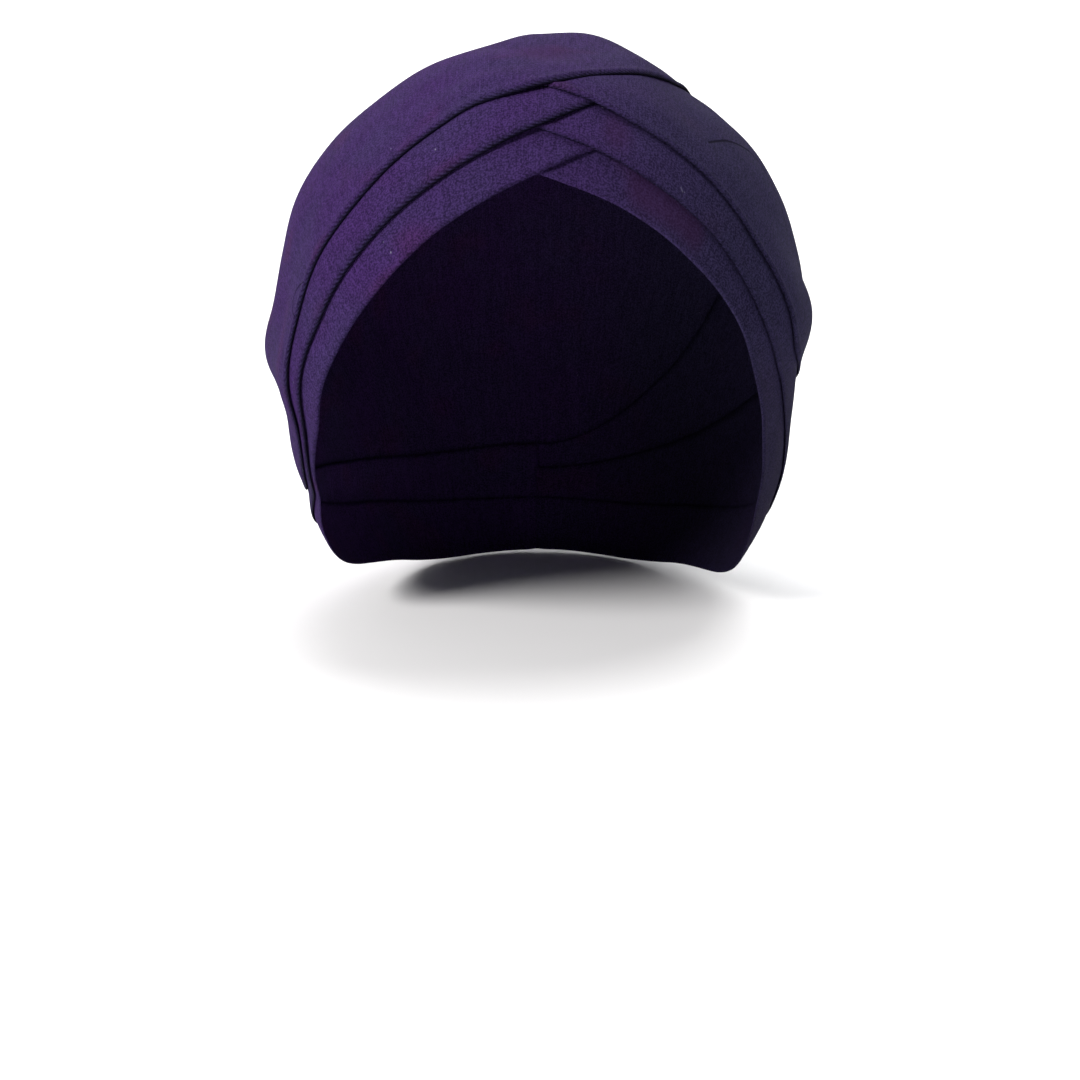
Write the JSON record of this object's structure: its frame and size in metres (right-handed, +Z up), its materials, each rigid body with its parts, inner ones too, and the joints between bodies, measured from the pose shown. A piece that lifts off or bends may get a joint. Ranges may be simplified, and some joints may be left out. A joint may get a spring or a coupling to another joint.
{
  "type": "turban cap",
  "caption": "Close jersey turban cap with a smooth crown and folded bands that cross in shingled layers over the forehead, open at the face.",
  "frame": {"origin": "inside of the crown at its top, straight above the middle of the head, where the cap sits on a head", "axes": "+Z up, the forehead and the face opening face -Y, the viewer's left of the picture is -X"},
  "size_m": [0.1678, 0.1873, 0.1742],
  "materials": {
    "jersey": "matt fine-knit jersey"
  },
  "bodies": {
    "root": {"crown": "jersey", "left_band_upper": "jersey", "left_band_lower": "jersey", "right_band_upper": "jersey", "right_band_middle": "jersey", "right_band_lower": "jersey"}
  },
  "joints": []
}
